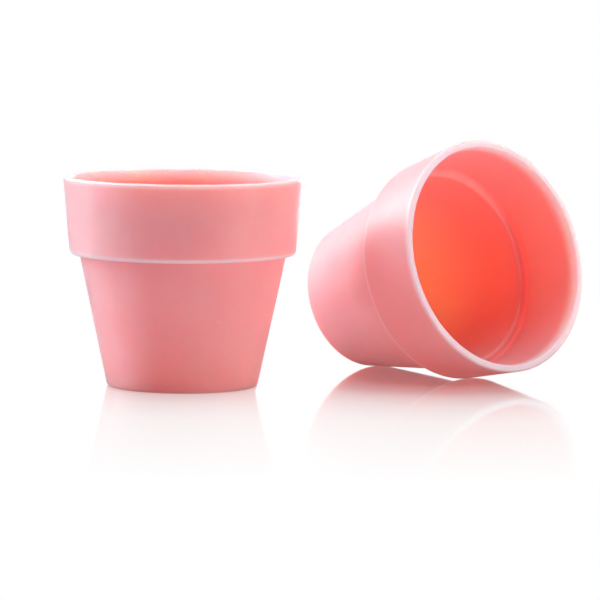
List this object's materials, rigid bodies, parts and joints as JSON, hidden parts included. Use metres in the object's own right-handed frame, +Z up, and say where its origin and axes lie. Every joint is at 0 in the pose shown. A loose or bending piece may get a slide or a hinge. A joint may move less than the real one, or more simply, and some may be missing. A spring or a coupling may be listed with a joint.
{
  "type": "resin casting mould",
  "caption": "Flexible one-piece casting moulds shaped as flower pots with a stepped collar, for resin, soap or wax: one stands on its foot, the other lies on its side and can be stood up.",
  "frame": {"origin": "centre of the standing mould's foot, on the surface that both moulds rest on", "axes": "+Z up along the standing mould's axis, +X towards the lying mould's side of the standing one, +Y to the back"},
  "size_m": [0.154, 0.1065, 0.0712],
  "materials": {
    "silicone": "satin"
  },
  "bodies": {
    "standing": {"standing_mould": "silicone"},
    "lying": {"lying_mould": "silicone"}
  },
  "joints": [
    {"name": "stand_up", "type": "hinge", "parent": "standing", "child": "lying", "pos_m": [0.05772, 0.05168, 0.001], "axis": [-0.7501, -0.6613, 0], "range_deg": [0, 74.33]}
  ]
}
